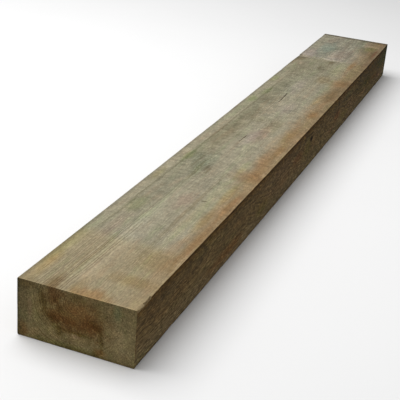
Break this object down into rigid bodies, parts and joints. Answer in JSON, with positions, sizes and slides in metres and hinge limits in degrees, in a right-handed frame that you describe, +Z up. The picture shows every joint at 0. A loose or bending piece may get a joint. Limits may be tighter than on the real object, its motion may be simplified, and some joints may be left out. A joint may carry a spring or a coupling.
{
  "type": "railway sleeper",
  "caption": "Solid sawn softwood sleeper of rectangular section with eased long edges, for edging beds, low walls, steps and kerbs.",
  "frame": {"origin": "on the floor, under the middle of the length and the width", "axes": "+X along the grain from the near end to the far end, +Y across the width, +Z up through the thickness"},
  "size_m": [1.8, 0.203, 0.1],
  "materials": {
    "treated_timber": "sawn, pressure-treated, weathered matt"
  },
  "bodies": {
    "root": {"sleeper": "treated_timber"}
  },
  "joints": []
}
